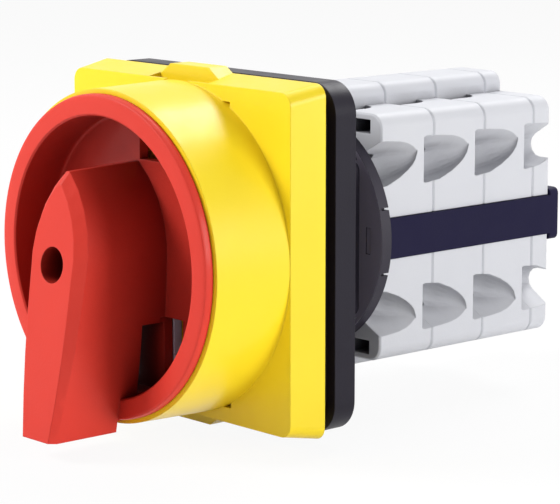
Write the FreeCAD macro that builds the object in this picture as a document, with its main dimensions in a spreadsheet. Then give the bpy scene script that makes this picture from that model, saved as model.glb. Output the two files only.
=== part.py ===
# Padlockable cam switch for panel mounting: a red rotary handle in a yellow shroud on a
# dark square frame, a latch housing behind the panel and three contact stages clamped
# by two bars. Origin on the spindle axis at the rear face of the frame. The front faces -Y,
# the stack runs to +Y, +Z is up. Millimetres.
import FreeCAD, Part
import math
import os
import re
import Sketcher

V = FreeCAD.Vector

# Driving sizes. Each row: name, value, what it sets.
SIZES = [
    ("plate_side", 65.0, "side of the dark square frame"),
    ("plate_thick", 5.0, "thickness of the frame"),
    ("plate_round", 6.0, "corner radius of the frame"),
    ("seat_deep", 1.0, "depth of the seat in the frame's rear for the latch housing"),
    ("bolt_pitch", "=plate_side * 48 / 65", "spacing of the panel bolts, both ways"),
    ("bolt_hole", 2.2, "radius of the panel bolt holes"),
    ("gasket_side", "=plate_side * 60.5 / 65", "outer side of the rubber gasket"),
    ("gasket_open", "=plate_side * 44 / 65", "inner side of the gasket"),
    ("gasket_thick", 2.7, "thickness of the gasket"),
    ("gasket_round", 5.0, "corner radius of the gasket"),
    ("gasket_hole", "=plate_side * 2.6 / 65", "radius of the bolt holes in the gasket"),
    ("shroud_back", "=plate_side + 0.5", "side of the shroud's block at its rear"),
    ("shroud_front", "=plate_side - 2", "side of the shroud's block at its front"),
    ("shroud_block", 7.4, "depth of the shroud's square block"),
    ("shroud_corner", 2.6, "radius of the block's corners"),
    ("shroud_wall", 2.0, "wall of the shroud"),
    ("collar_base", "=shroud_front / 2", "outer radius of the round collar at the block"),
    ("collar_tip", "=collar_base - 0.5", "outer radius of the collar at its front"),
    ("collar_depth", 16.8, "length of the collar in front of the block"),
    ("collar_bore", "=collar_base - 2.9", "inner radius of the collar"),
    ("tab_place", "=plate_side * 20 / 65", "distance of the snap tabs from the axis"),
    ("tab_thick", 1.4, "thickness of a snap tab"),
    ("tab_wide", 8.0, "width of a snap tab"),
    ("tab_barb", 0.6, "how far a tab's barb stands out"),
    ("barb_long", 2.6, "length of a tab's barb"),
    ("recess_narrow", 2.9, "half width of the recess at the block's edge"),
    ("recess_wide", "=collar_base * 15 / 31.5", "half width of the recess beside the collar"),
    ("recess_bend", "=collar_base - 3.8", "height of the recess's corners above the axis"),
    ("recess_deep", 3.0, "depth of the recess in the block's front"),
    ("slit_half", 8.6, "half width of the slit at the bottom of the recess"),
    ("bump_top", 5.5, "half width of the bump's top behind the recess"),
    ("bump_foot", 8.5, "half width of the bump's foot"),
    ("bump_high", 1.4, "height of the bump above the block"),
    ("ring_radius", "=collar_tip - 0.85", "outer radius of the handle's ring"),
    ("ring_thick", 1.8, "thickness of the ring"),
    ("ring_round", 0.8, "bevel of the ring's front edge"),
    ("ring_gap", 0.2, "gap from the ring to the collar"),
    ("ring_face", "=plate_thick + gasket_thick + shroud_block + collar_depth + ring_gap + ring_thick",
     "distance of the ring's front from the frame's rear"),
    ("bowl_radius", "=ring_radius - 3.95", "inner radius of the handle's bowl"),
    ("bowl_wall", 1.8, "wall of the bowl"),
    ("bowl_depth", 9.1, "depth of the bowl from the ring's front"),
    ("bowl_floor", 2.0, "thickness of the bowl's floor"),
    ("grip_front", "=ring_face + 10.8", "distance of the grip's face from the frame's rear"),
    ("grip_slope", 0.138, "slope of the grip's face"),
    ("grip_bevel", 1.7, "depth of the bevel round the grip's face"),
    ("grip_tip", "=bowl_radius * 16.7 / 26.2", "height of the grip's point above the axis"),
    ("grip_tail", "=ring_radius + 1.85", "reach of the grip's tail below the axis"),
    ("grip_half", "=bowl_radius * 8 / 26.2", "half width of the grip where it is widest"),
    ("tail_half", "=bowl_radius * 4.3 / 26.2", "half width of the grip's tail"),
    ("tunnel_depth", 5.2, "depth of the padlock tunnel under the grip"),
    ("tunnel_top", "=bowl_radius * 12 / 26.2", "distance of the tunnel's upper wall below the axis"),
    ("window_in", "=bowl_radius * 7.5 / 26.2", "near side of a lower window"),
    ("window_out", "=bowl_radius * 13 / 26.2", "far side of a lower window"),
    ("window_top", "=bowl_radius * 11 / 26.2", "distance of a lower window below the axis"),
    ("upper_in", 0.8, "near side of the upper window"),
    ("upper_out", "=bowl_radius * 9.5 / 26.2", "far side of the upper window"),
    ("upper_low", "=bowl_radius * 17.6 / 26.2", "height of the upper window above the axis"),
    ("hub_radius", "=plate_side * 7 / 65", "radius of the handle's hub"),
    ("hub_hole", "=hub_radius + 2", "radius of the hole in the frame behind the hub"),
    ("hub_end", "=plate_thick + gasket_thick + 0.7", "distance of the hub's rear end from the frame's rear"),
    ("run_gap", 0.08, "radial clearance of the running fits"),
    ("fit_gap", 0.05, "clearance of a square or a thread in its hole"),
    ("slack", 0.1, "clearance between pieces of one body"),
    ("spindle_side", "=hub_radius * 6.9 / 7", "side of the square spindle"),
    ("spindle_grip", "=ring_face - bowl_depth - bowl_floor - hub_end - 1.6",
     "length of the spindle in the handle's hub"),
    ("screw_hole", 3.3, "radius of the hole for the handle screw"),
    ("screw_seat", "=ring_face - 3.9", "distance of the screw's seat from the frame's rear"),
    ("handle_shank", 1.6, "radius of the handle screw's shank"),
    ("handle_head", 2.4, "height of the handle screw's head"),
    ("screw_bite", 9.0, "depth of the spindle's tapped hole"),
    ("slide_thick", 1.8, "thickness of the padlock slide"),
    ("slide_rear", "=ring_face - bowl_depth - bowl_floor - slide_thick - 0.3",
     "distance of the slide's rear face from the frame's rear"),
    ("slide_half", "=bowl_radius * 13.2 / 26.2", "half width of the padlock slide"),
    ("slide_low", "=collar_bore - 8.6", "reach of the slide's wide part below the axis"),
    ("slide_tip", "=collar_bore - 4.1", "reach of the slide's tongue below the axis"),
    ("slide_tongue", 5.0, "half width of the slide's tongue"),
    ("rail_low", "=slide_low - 2", "reach of the slide's rails below the axis"),
    ("rail_thick", 1.5, "thickness of a rail's web"),
    ("neck_half_x", "=plate_side * 17 / 65", "half width of the latch housing's neck"),
    ("neck_half_z", "=plate_side * 15 / 65", "half height of the latch housing's neck"),
    ("neck_long", 15.7, "length of the neck behind the frame"),
    ("neck_round", 2.0, "radius of the neck's corners"),
    ("flange_radius", "=plate_side * 23.3 / 65", "radius of the latch housing's flange"),
    ("flange_thick", 2.5, "thickness of the flange"),
    ("rim_notch", 6.3, "distance of the flange's rim notches from the middle"),
    ("rim_wall", 0.9, "wall between the flange's corner openings and its rim"),
    ("neck_wall", 3.0, "front wall of the latch housing"),
    ("latch_shank", 1.2, "radius of a latch screw's shank"),
    ("latch_head", 2.2, "radius of a latch screw's head"),
    ("latch_head_high", 1.8, "height of a latch screw's head"),
    ("latch_reach", 8.0, "reach of a latch screw into the neck"),
    ("latch_edge", 3.0, "distance of the latch screws from the neck's sides"),
    ("index_lobe", "=hub_radius * 8 / 7", "radius of the index wheel over its lobes"),
    ("index_dip", 1.2, "depth of the index wheel's notches"),
    ("roller_radius", "=index_lobe / 5", "radius of an index roller"),
    ("roller_gap", 0.2, "gap from a lobe to the roller at its outermost place"),
    ("roller_long", "=neck_long - 8.7", "length of an index roller"),
    ("index_roof", "=neck_half_z - 1.3", "height of the roller channels' roof"),
    ("index_journal", "=hub_radius * 0.8", "radius of the index wheel's front journal"),
    ("stage_pitch", 14.15, "length of one contact stage"),
    ("tower_half_x", "=plate_side * 20.3 / 65", "half width of the stack"),
    ("tower_half_z", "=plate_side * 24 / 65", "half height of the stack beside the humps"),
    ("tower_round", 3.0, "radius of the stack's long edges"),
    ("hump_half", "=tower_half_x * 6.7 / 20.3", "half width of a hump"),
    ("hump_top", "=tower_half_z + 4", "height of a hump above the axis"),
    ("hump_round", 2.6, "radius of a hump's long edges"),
    ("seam_bevel", 0.35, "bevel at the seams between the stages"),
    ("end_thick", 4.8, "thickness of the end plate"),
    ("cap_thick", 1.7, "thickness of the rear cap"),
    ("cap_half_x", "=tower_half_x - 4.8", "half width of the rear cap"),
    ("cap_half_z", 9.6, "half height of the rear cap"),
    ("cap_round", 2.2, "radius of the rear cap's corners"),
    ("scoop_low", "=tower_half_z * 9.9 / 24", "inner edge of a wire scoop"),
    ("scoop_high", "=tower_half_z * 19.6 / 24", "outer edge of a wire scoop"),
    ("scoop_deep", "=tower_half_x * 8.8 / 20.3", "depth of a wire scoop at its flat wall"),
    ("scoop_lead", 2.7, "length of a scoop in front of its seam"),
    ("scoop_long", "=stage_pitch - 1.85", "whole length of a scoop"),
    ("cam_high", "=hub_radius * 8 / 7", "largest radius of a contact cam"),
    ("contact_travel", 2.0, "travel of a plunger over a quarter turn"),
    ("cam_room", "=cam_high + 1.3", "radius of the cam's chamber"),
    ("cam_journal", "=hub_radius * 0.8", "radius of a cam's rear journal"),
    ("partition", 2.0, "thickness of the wall behind a cam"),
    ("ledge", "=tower_half_z * 13.6 / 24", "height of the ledge that carries the fixed contacts"),
    ("chamber_top", "=tower_half_z * 19.8 / 24", "height of the contact chamber's roof"),
    ("chamber_half", "=tower_half_x * 10.9 / 20.3", "half width of the contact chamber"),
    ("chamber_deep", "=stage_pitch - 3.95", "depth of the contact chamber"),
    ("spring_room", "=hump_top - 1.4", "height of the spring chamber's roof in a hump"),
    ("pocket_low", "=tower_half_z * 20.1 / 24", "height of a tower's front pocket above the axis"),
    ("pocket_high", "=tower_half_z - 1.2", "height of the pocket's roof"),
    ("pocket_in", "=tower_half_x * 11.9 / 20.3", "near side of a tower's front pocket"),
    ("pocket_out", "=tower_half_x - 3", "far side of a tower's front pocket"),
    ("pocket_deep", 9.0, "depth of a tower's front pocket"),
    ("entry_in", "=tower_half_x * 10 / 20.3", "near side of a wire entry"),
    ("entry_out", "=tower_half_x * 15 / 20.3", "far side of a wire entry"),
    ("entry_high", 2.6, "height of a wire entry above the ledge"),
    ("plunger_half", "=tower_half_x * 3.4 / 20.3", "half width of a plunger"),
    ("plunger_tip", 1.5, "radius of a plunger's tip"),
    ("plunger_start", "=stage_pitch * 1.9 / 14.15", "distance of a plunger from its stage's front"),
    ("plunger_deep", "=stage_pitch * 5.4 / 14.15", "size of a plunger along the axis"),
    ("plunger_top", "=chamber_top + 0.5", "height of a plunger's head above the axis"),
    ("strip_thick", 1.2, "thickness of the contact strips"),
    ("strip_half", 2.4, "half width of a fixed contact"),
    ("bridge_low", "=ledge + 3.8", "height of a contact bridge's underside when it is open"),
    ("bridge_half", "=tower_half_x * 6.6 / 20.3", "half length of a contact bridge"),
    ("bridge_inset", 0.8, "how much narrower a bridge is than its plunger, each side"),
    ("button_high", 0.5, "height of a contact button"),
    ("button_radius", 1.0, "radius of a contact button"),
    ("terminal_head", "=ledge + 4", "height of the terminal screws' heads"),
    ("terminal_shank", 1.0, "radius of a terminal screw's shank"),
    ("screw_place", "=tower_half_x * 8.75 / 20.3", "distance of the terminal screws from the axis"),
    ("terminal_wide", "=chamber_half - screw_place - 0.25",
     "radius and height of a terminal screw's head"),
    ("screw_set", "=plunger_start + plunger_deep / 2", "distance of a terminal screw from its stage's front"),
    ("well_radius", "=tower_half_x * 4.15 / 20.3", "radius of a terminal screw well"),
    ("spring_radius", "=plunger_half - 1.3", "radius of a contact spring's coil"),
    ("spring_wire", 0.35, "radius of a contact spring's wire"),
    ("latch_spring", "=roller_radius - 0.5", "radius of an index spring's coil"),
    ("latch_wire", 0.22, "radius of an index spring's wire"),
    ("bar_half", 3.95, "half height of a clamping bar"),
    ("tongue_half", 2.5, "half height of a bar's tongue in the flange"),
    ("tongue_thick", 1.0, "thickness of a bar's tongue"),
    ("bar_low", "=tower_half_x - 1.5", "distance of the bars' groove floor from the axis"),
    ("bar_proud", 0.5, "how far a bar stands out of the stack's side"),
    ("bar_head_half", 5.3, "half height of a bar's head"),
    ("bar_head_thick", 2.3, "thickness of a bar's head"),
    ("bar_head_round", 1.2, "radius of a bar head's corners"),
]

doc = FreeCAD.newDocument("cam_switch")
sheet = doc.addObject("Spreadsheet::Sheet", "Sizes")
for row, (alias, number, meaning) in enumerate(SIZES, start=1):
    sheet.set("A%d" % row, alias)
    sheet.set("B%d" % row, str(number))
    sheet.set("C%d" % row, meaning)
    sheet.setAlias("B%d" % row, alias)
doc.recompute()
ALIASES = {alias for alias, number, meaning in SIZES}


def size(alias):
    """The value of one driving size."""
    return float(getattr(sheet, alias))


def signed(text):
    """The value of one driving size, with a minus sign in front allowed."""
    return -size(text[1:]) if text.startswith("-") else size(text)


def bind(thing, prop, text):
    """Bind a property to a formula in the sheet's names."""
    def full(match):
        word = match.group(0)
        return "Sizes." + word if word in ALIASES else word
    thing.setExpression(prop, re.sub(r"[a-z][a-z_]*", full, str(text)))


def box(name, xs, ys, zs):
    """A block between two formulas on each axis."""
    made = doc.addObject("Part::Box", name)
    for span, prop, axis in ((xs, "Length", "x"), (ys, "Width", "y"), (zs, "Height", "z")):
        bind(made, prop, "(%s) - (%s)" % (span[1], span[0]))
        bind(made, "Placement.Base." + axis, span[0])
    return made


def rod_y(name, radius, y0, y1, x="0", z="0", tip=None):
    """A cylinder, or a cone if tip is given, along the spindle's direction."""
    made = doc.addObject("Part::Cylinder" if tip is None else "Part::Cone", name)
    if tip is None:
        bind(made, "Radius", radius)
    else:
        bind(made, "Radius1", radius)
        bind(made, "Radius2", tip)
    bind(made, "Height", "(%s) - (%s)" % (y1, y0))
    made.Placement.Rotation = FreeCAD.Rotation(V(1, 0, 0), -90)
    for axis, text in (("x", x), ("y", y0), ("z", z)):
        bind(made, "Placement.Base." + axis, text)
    return made


def rod_z(name, radius, z0, z1, x="0", y="0"):
    """A cylinder that stands along Z."""
    made = doc.addObject("Part::Cylinder", name)
    bind(made, "Radius", radius)
    bind(made, "Height", "(%s) - (%s)" % (z1, z0))
    for axis, text in (("x", x), ("y", y), ("z", z0)):
        bind(made, "Placement.Base." + axis, text)
    return made


def fuse(name, parts):
    made = doc.addObject("Part::MultiFuse", name)
    made.Shapes = parts
    made.Refine = True
    return made


def cut(name, base, tools):
    made = doc.addObject("Part::Cut", name)
    made.Base = base
    made.Tool = tools[0] if len(tools) == 1 else fuse(name + "_tools", tools)
    made.Refine = True
    return made


def shaped(name, shape):
    """An object for a form that neither a sketch nor a primitive gives."""
    made = doc.addObject("Part::Feature", name)
    made.Shape = shape
    return made


NODES = {}


def node(label, made):
    """Keep a finished piece under its name."""
    made.Label = label
    NODES[label] = made
    return made


def outline_body(name, points, start, length, taper=None):
    """A body with one padded outline in the XZ plane, its corners bound to the sheet.

    It is padded towards +Y, or with a taper towards the front."""
    body = doc.addObject("PartDesign::Body", name)
    plane = [f for f in body.Origin.OriginFeatures if f.Role == "XZ_Plane"][0]
    sketch = body.newObject("Sketcher::SketchObject", name + "_outline")
    sketch.AttachmentSupport = [(plane, "")]
    sketch.MapMode = "FlatFace"
    # the sketch's own depth runs to -Y, so the start is entered with its sign turned
    bind(sketch, "AttachmentOffset.Base.z", "-(%s)" % start)
    count = len(points)
    for i, (x, z, gx, gz) in enumerate(points):
        nx, nz = points[(i + 1) % count][2:4]
        sketch.addGeometry(Part.LineSegment(V(gx, gz, 0), V(nx, nz, 0)), False)
    for i in range(count):
        sketch.addConstraint(Sketcher.Constraint("Coincident", i, 2, (i + 1) % count, 1))
    for i, (x, z, gx, gz) in enumerate(points):
        for kind, text, guess in (("DistanceX", x, gx), ("DistanceY", z, gz)):
            index = sketch.addConstraint(Sketcher.Constraint(kind, -1, 1, i, 1, guess))
            bind(sketch, "Constraints[%d]" % index, text)
    pad = body.newObject("PartDesign::Pad", name + "_pad")
    pad.Profile = sketch
    bind(pad, "Length", length)
    pad.Reversed = taper is None
    if taper is not None:
        bind(pad, "TaperAngle", taper)
    body.Tip = pad
    doc.recompute()
    return body


def long_edges(shape, wanted):
    """Names of the edges along Y that pass a test on their x and z."""
    names = []
    for i, edge in enumerate(shape.Edges, start=1):
        a, b = edge.firstVertex().Point, edge.lastVertex().Point
        along = abs(a.x - b.x) < 1e-6 and abs(a.z - b.z) < 1e-6
        if along and wanted(a.x, a.z):
            names.append("Edge%d" % i)
    return names


def round_long(body, name, radius, wanted):
    """Round the long edges that pass a test."""
    base = body.Tip
    rounded = body.newObject("PartDesign::Fillet", name)
    rounded.Base = (base, long_edges(base.Shape, wanted))
    bind(rounded, "Radius", radius)
    body.Tip = rounded
    doc.recompute()


def square(text, guess):
    """Corners of a square about the axis, its half side given as a formula and a value."""
    signs = ((-1, -1), (1, -1), (1, 1), (-1, 1))
    return [("%d * (%s)" % (sx, text), "%d * (%s)" % (sz, text), sx * guess, sz * guess)
            for sx, sz in signs]


CORNERS = [(sx, sz) for sx in (-1, 1) for sz in (-1, 1)]
SIDES = (("right", 1), ("left", -1))
ENDS = (("top", 1), ("bottom", -1))

# Backing frame: the dark square plate that lies on the panel, with a hole for the hub, a
# shallow seat for the latch housing, and holes for the bolts, the latch screws and the tabs
frame_plate = outline_body("frame_plate", square("plate_side / 2", size("plate_side") / 2),
                           "-plate_thick", "plate_thick")
round_long(frame_plate, "frame_corners", "plate_round", lambda x, z: True)
frame_cuts = [rod_y("frame_hub_hole", "hub_hole", "-plate_thick - 1", "1"),
              box("frame_seat", ("-neck_half_x - slack", "neck_half_x + slack"), ("-seat_deep", "1"),
                  ("-neck_half_z - slack", "neck_half_z + slack"))]
for n, (sx, sz) in enumerate(CORNERS):
    frame_cuts.append(rod_y("frame_bolt_hole%d" % n, "bolt_hole", "-plate_thick - 1", "1",
                            "%d * bolt_pitch / 2" % sx, "%d * bolt_pitch / 2" % sz))
LATCH_X = "(neck_half_x - latch_edge)"
LATCH_Z = "(neck_half_z - latch_edge)"
for n, (sx, sz) in enumerate(CORNERS):
    frame_cuts.append(rod_y("frame_latch_hole%d" % n, "latch_shank + fit_gap",
                            "-plate_thick - 1", "1", "%d * %s" % (sx, LATCH_X),
                            "%d * %s" % (sz, LATCH_Z)))


def tab_spans(n, low, high, half):
    """Spans of a box at tab n: low and high are distances from the axis."""
    sign = 1 if n % 2 == 0 else -1
    near, far = (low, high) if sign > 0 else ("-(%s)" % high, "-(%s)" % low)
    across = ("-(%s)" % half, half)
    return ((near, far), across) if n < 2 else (across, (near, far))


for n in range(4):
    xs, zs = tab_spans(n, "tab_place - slack", "tab_place + tab_thick + tab_barb + slack",
                       "tab_wide / 2 + slack")
    frame_cuts.append(box("frame_slot%d" % n, xs, ("-plate_thick - 1", "1"), zs))
node("backing_frame", cut("backing_frame", frame_plate, frame_cuts))

# Gasket: a square rubber ring between the frame and the shroud
gasket_plate = outline_body("gasket_plate", square("gasket_side / 2", size("gasket_side") / 2),
                            "-plate_thick - gasket_thick", "gasket_thick")
round_long(gasket_plate, "gasket_corners", "gasket_round", lambda x, z: True)
GASKET_SPAN = ("-plate_thick - gasket_thick - 1", "-plate_thick + 1")
gasket_cuts = [box("gasket_window", ("-gasket_open / 2", "gasket_open / 2"), GASKET_SPAN,
                   ("-gasket_open / 2", "gasket_open / 2"))]
for n, (sx, sz) in enumerate(CORNERS):
    gasket_cuts.append(rod_y("gasket_bolt_hole%d" % n, "gasket_hole", GASKET_SPAN[0],
                             GASKET_SPAN[1], "%d * bolt_pitch / 2" % sx,
                             "%d * bolt_pitch / 2" % sz))
node("gasket", cut("gasket", gasket_plate, gasket_cuts))

# Yellow shroud: a drafted square block with a round collar, hollow corners that clear the
# bolt heads, a floor with the hub's bearing, and at top and bottom a recess in the block's
# front with a slit at its bottom and a low bump behind it
BLOCK_REAR = "(-plate_thick - gasket_thick)"
BLOCK_FRONT = "(-plate_thick - gasket_thick - shroud_block)"
COLLAR_FRONT = "(-plate_thick - gasket_thick - shroud_block - collar_depth)"

shroud_block = outline_body("shroud_square", square("shroud_back / 2", size("shroud_back") / 2),
                            BLOCK_REAR, "shroud_block",
                            "-atan((shroud_back - shroud_front) / 2 / shroud_block)")
slanted = [n for n, edge in enumerate(shroud_block.Shape.Edges, start=1)
           if edge.BoundBox.YLength > size("shroud_block") / 2]
shroud_pad = shroud_block.Tip
shroud_corners = shroud_block.newObject("PartDesign::Fillet", "shroud_corners")
shroud_corners.Base = (shroud_pad, ["Edge%d" % n for n in slanted])
bind(shroud_corners, "Radius", "shroud_corner")
shroud_block.Tip = shroud_corners
collar = rod_y("shroud_collar", "collar_tip", COLLAR_FRONT, BLOCK_FRONT + " + shroud_block / 2",
               tip="collar_base")
block_half = size("shroud_front") / 2
recesses = []
bumps = []
for end, sz in ENDS:
    recess = [("recess_wide", "collar_bore"), ("recess_wide", "recess_bend"),
              ("recess_narrow", "shroud_front / 2"), ("recess_narrow", "shroud_front / 2 + 3"),
              ("-recess_narrow", "shroud_front / 2 + 3"), ("-recess_narrow", "shroud_front / 2"),
              ("-recess_wide", "recess_bend"), ("-recess_wide", "collar_bore")]
    heights = [size("collar_bore"), size("recess_bend"), block_half, block_half + 3]
    heights += heights[::-1]
    corners = [(x, "%d * (%s)" % (sz, z), signed(x), sz * guess)
               for (x, z), guess in zip(recess, heights)]
    recesses.append(outline_body("recess_" + end, corners, BLOCK_FRONT + " - 1", "recess_deep + 1"))
    profile = [("bump_foot", "shroud_front / 2 - 1", block_half - 1),
               ("bump_foot", "shroud_front / 2 + 0.4", block_half + 0.4),
               ("bump_top", "shroud_back / 2 + bump_high - 0.2",
                size("shroud_back") / 2 + size("bump_high") - 0.2)]
    corners = ([(x, "%d * (%s)" % (sz, z), size(x), sz * guess) for x, z, guess in profile]
               + [("-" + x, "%d * (%s)" % (sz, z), -size(x), sz * guess)
                  for x, z, guess in profile[::-1]])
    bumps.append(outline_body("bump_" + end, corners, BLOCK_FRONT + " + recess_deep",
                              "shroud_block - recess_deep"))
recessed_block = cut("recessed_block", shroud_block, recesses)
shroud_solid = fuse("shroud_solid", [recessed_block, collar] + bumps)
FLOOR_FRONT = "(%s - shroud_wall)" % BLOCK_REAR
CAVITY_HALF = "(shroud_front / 2 - shroud_wall)"
cavity = box("corner_space", ("-" + CAVITY_HALF, CAVITY_HALF),
             (BLOCK_FRONT + " + shroud_wall", BLOCK_REAR + " + 1"),
             ("-" + CAVITY_HALF, CAVITY_HALF))
corner_space = cut("corner_spaces", cavity,
                   [rod_y("collar_wall", "collar_bore + shroud_wall - 0.2",
                          BLOCK_FRONT + " - 1", BLOCK_REAR + " + 2")])
bowl_space = rod_y("bowl_space", "collar_bore", COLLAR_FRONT + " - 1", FLOOR_FRONT)
hub_bearing = rod_y("hub_bearing", "hub_radius + run_gap", FLOOR_FRONT + " - 1",
                    BLOCK_REAR + " + 1")
slits = []
for end, sz in ENDS:
    inner, outer = "%d * (collar_bore - 2)" % sz, "%d * (shroud_back)" % sz
    low, high = (inner, outer) if sz > 0 else (outer, inner)
    slits.append(box("slit_" + end, ("-slit_half", "slit_half"),
                     (BLOCK_FRONT + " + 0.3", BLOCK_FRONT + " + recess_deep"), (low, high)))
shroud_open = cut("shroud_open", shroud_solid, [corner_space, bowl_space, hub_bearing] + slits)
tabs = []
for n in range(4):
    xs, zs = tab_spans(n, "tab_place", "tab_place + tab_thick", "tab_wide / 2")
    tabs.append(box("shroud_tab%d" % n, xs, (BLOCK_REAR + " - 0.5", "-slack * 3"), zs))
    xs, zs = tab_spans(n, "tab_place", "tab_place + tab_thick + tab_barb", "tab_wide / 2")
    tabs.append(box("shroud_barb%d" % n, xs, ("-slack * 3 - barb_long + 0.3", "-slack * 3"), zs))
posts = []
for side, sx in SIDES:
    near, far = "slide_tongue + slack * 4", "slide_tongue + slack * 4 + shroud_wall"
    xs = (near, far) if sx > 0 else ("-(%s)" % far, "-(%s)" % near)
    posts.append(box("lock_post_" + side, xs, ("-slide_rear", FLOOR_FRONT + " + 0.5"),
                     ("-collar_bore", "-collar_bore + shroud_wall")))
node("front_shroud", fuse("front_shroud", [shroud_open] + tabs + posts))

# Handle: one red moulding of a ring, a bowl with windows for a padlock, a grip with a
# sloping face, and a hub that turns in the shroud and holds the spindle's square end
ring_front_y = -size("ring_face")
RING_FRONT = "(-ring_face)"
BOWL_FLOOR = "(%s + bowl_depth)" % RING_FRONT
BOWL_REAR = "(%s + bowl_floor)" % BOWL_FLOOR


def bowl_shape():
    """The ring and the bowl, turned from one section about the spindle."""
    front = ring_front_y
    floor = front + size("bowl_depth")
    rear = floor + size("bowl_floor")
    back = front + size("ring_thick")
    out, inn, skirt = size("ring_radius"), size("bowl_radius"), size("bowl_radius") + size("bowl_wall")
    nose = size("ring_round")
    section = [(0, floor), (inn - 0.9, floor), (inn - 0.25, floor - 0.25), (inn, floor - 0.9),
               (inn, front + 0.3), (inn + 0.3, front), (out - nose, front),
               (out - nose * 0.3, front + nose * 0.3), (out, front + nose), (out, back),
               (skirt, back), (skirt, rear), (0, rear), (0, floor)]
    lines = Part.makePolygon([V(x, y, 0) for x, y in section])
    return Part.Face(lines).revolve(V(0, 0, 0), V(0, 1, 0), 360)


def grip_wire(depth_at, half, tail, tip, foot):
    """An outline of the grip on a plane: depth_at gives y for a height z."""
    def at(x, z):
        return V(x, depth_at(z), z)
    nib = 0.5
    bulge = -1.8
    right = [at(nib, tip), at(half * 0.78, tip * 0.56), at(half, bulge),
             at((half + tail) / 2 + 0.5, -foot * 0.55), at(tail, -foot)]
    side = Part.Arc(right[0], right[1], right[2]).toShape().discretize(Number=6)
    side += Part.Arc(right[2], right[3], right[4]).toShape().discretize(Number=5)[1:]
    other = [at(-p.x, p.z) for p in side[::-1]]
    return Part.makePolygon(side + other + side[:1])


def grip_shape():
    """The grip: nearly straight sides from the floor, then a bevel to the sloping face."""
    front, slope, bevel = size("grip_front"), size("grip_slope"), size("grip_bevel")
    half, tail = size("grip_half"), size("tail_half")
    tip, foot = size("grip_tip"), size("grip_tail")
    floor = ring_front_y + size("bowl_depth") + 0.5
    outer = grip_wire(lambda z: -front + bevel + slope * z, half, tail, tip, foot)
    root = grip_wire(lambda z: floor, half + 0.5, tail + 0.3, tip + 0.5, foot)
    face = grip_wire(lambda z: -front + slope * z, half - 2.0, tail - 0.5, tip - 2.2, foot - 0.2)
    return Part.makeLoft([root, outer, face], True, True)


bowl = shaped("handle_bowl", bowl_shape())
grip_full = shaped("grip_full", grip_shape())
grip = cut("grip", grip_full, [
    box("grip_behind_ring", ("-ring_radius", "ring_radius"), (RING_FRONT + " + ring_thick / 2", "0"),
        ("-2 * ring_radius", "-bowl_radius - bowl_wall / 2")),
    box("grip_beyond_ring", ("-ring_radius", "ring_radius"), (RING_FRONT, "0"),
        ("-2 * ring_radius", "-ring_radius + ring_round / 2")),
    box("padlock_tunnel", ("-ring_radius", "ring_radius"), (BOWL_FLOOR + " - tunnel_depth", BOWL_FLOOR),
        ("-bowl_radius + 1.2", "-tunnel_top")),
])
windows = []
for name, sx, near, far, zs in (
        ("low_right", 1, "window_in", "window_out", ("-bowl_radius", "-window_top")),
        ("low_left", -1, "window_in", "window_out", ("-bowl_radius", "-window_top")),
        ("upper", 1, "upper_in", "upper_out", ("upper_low", "bowl_radius"))):
    xs = (near, far) if sx > 0 else ("-" + far, "-" + near)
    block = box("window_block_" + name, xs, (BOWL_FLOOR + " - 1", BOWL_REAR + " + 1"), zs)
    disc = rod_y("window_disc_" + name, "bowl_radius - 1", BOWL_FLOOR + " - 2", BOWL_REAR + " + 2")
    window = doc.addObject("Part::Common", "window_" + name)
    window.Base, window.Tool = block, disc
    windows.append(window)
hub = rod_y("handle_hub", "hub_radius", BOWL_REAR + " - 0.5", "-hub_end")
rails = []
for side, sx in SIDES:
    for name, near, far, y0, y1 in (
            ("web", "slide_half + slack * 2", "slide_half + slack * 2 + rail_thick",
             BOWL_REAR + " - 0.4", "-slide_rear + slack * 2 + 1"),
            ("lip", "slide_half - 0.8", "slide_half + slack * 2 + rail_thick",
             "-slide_rear + slack * 2", "-slide_rear + slack * 2 + 1")):
        xs = (near, far) if sx > 0 else ("-(%s)" % far, "-(%s)" % near)
        rails.append(box("rail_%s_%s" % (name, side), xs, (y0, y1), ("-rail_low", "-hub_radius - 1.6")))
handle_solid = fuse("handle_solid", [bowl, grip, hub] + rails)
SOCKET_HALF = "(spindle_side / 2 + fit_gap)"
SPINDLE_FRONT = "(-hub_end - spindle_grip)"
handle_cuts = windows + [
    rod_y("handle_screw_hole", "screw_hole", "-grip_front - 6", "-screw_seat"),
    rod_y("handle_shank_hole", "handle_shank + slack", "-screw_seat - 1",
          SPINDLE_FRONT + " + 1"),
    box("spindle_socket", ("-" + SOCKET_HALF, SOCKET_HALF),
        (SPINDLE_FRONT + " - slack", "-hub_end + 1"), ("-" + SOCKET_HALF, SOCKET_HALF)),
]
node("handle", cut("handle", handle_solid, handle_cuts))

# Handle screw: a pan head low in the grip's hole, its shank in the spindle's tapped end
SCREW_TOP = "(-screw_seat - handle_head)"
screw_body = fuse("handle_screw_body", [
    rod_y("handle_screw_head", "screw_hole - slack * 3", SCREW_TOP, "-screw_seat"),
    rod_y("handle_screw_shank", "handle_shank", "-screw_seat - 0.5",
          SPINDLE_FRONT + " + screw_bite - 1"),
])
node("handle_screw", cut("handle_screw", screw_body, [
    box("handle_screw_slot", ("-screw_hole", "screw_hole"), (SCREW_TOP + " - 1", SCREW_TOP + " + 1"),
        ("-0.4", "0.4"))]))

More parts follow.
